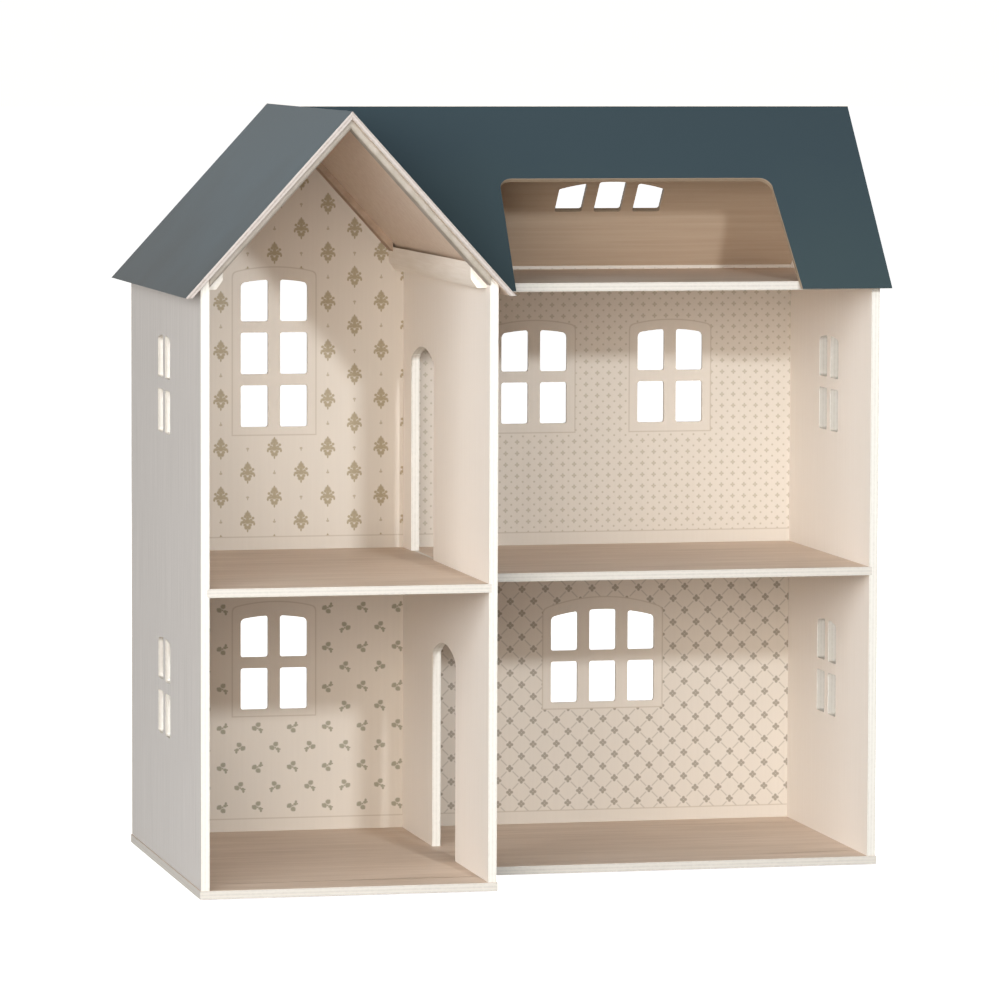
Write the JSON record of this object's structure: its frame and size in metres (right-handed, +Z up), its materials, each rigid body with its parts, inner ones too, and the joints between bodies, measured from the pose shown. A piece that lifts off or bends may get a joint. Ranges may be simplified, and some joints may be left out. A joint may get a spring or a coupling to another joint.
{
  "type": "dollhouse",
  "caption": "Open-front plywood dollhouse with a gabled front wing, a set-back wing with an attic, arched windows and doorways, and a roof opening.",
  "frame": {"origin": "middle of the whole house's outline, on the ground under the base board", "axes": "+X from the gabled wing to the set-back wing, +Y from the open front to the back, +Z up"},
  "size_m": [0.6934, 0.4174, 0.7194],
  "materials": {
    "printed_wall_board": "printed and varnished",
    "varnished_floor_board": "satin varnish",
    "painted_roof_board": "satin paint",
    "bare_batten_wood": "sanded",
    "plated_steel": "zinc plated"
  },
  "bodies": {
    "root": {"base_board": "varnished_floor_board", "left_wall": "printed_wall_board", "centre_wall": "printed_wall_board", "right_wall": "printed_wall_board", "left_back_panel": "printed_wall_board", "right_back_panel": "printed_wall_board", "left_mid_floor": "varnished_floor_board", "right_mid_floor": "varnished_floor_board", "attic_floor": "varnished_floor_board", "gable_roof_left": "painted_roof_board", "gable_roof_right": "painted_roof_board", "main_roof_front": "painted_roof_board", "main_roof_back": "painted_roof_board", "front_rafter_left": "bare_batten_wood", "front_rafter_right": "bare_batten_wood", "back_rafter_left": "bare_batten_wood", "back_rafter_right": "bare_batten_wood", "eave_batten_left": "bare_batten_wood", "eave_batten_centre": "bare_batten_wood", "base_screws": "plated_steel", "back_pins": "plated_steel"}
  },
  "joints": []
}
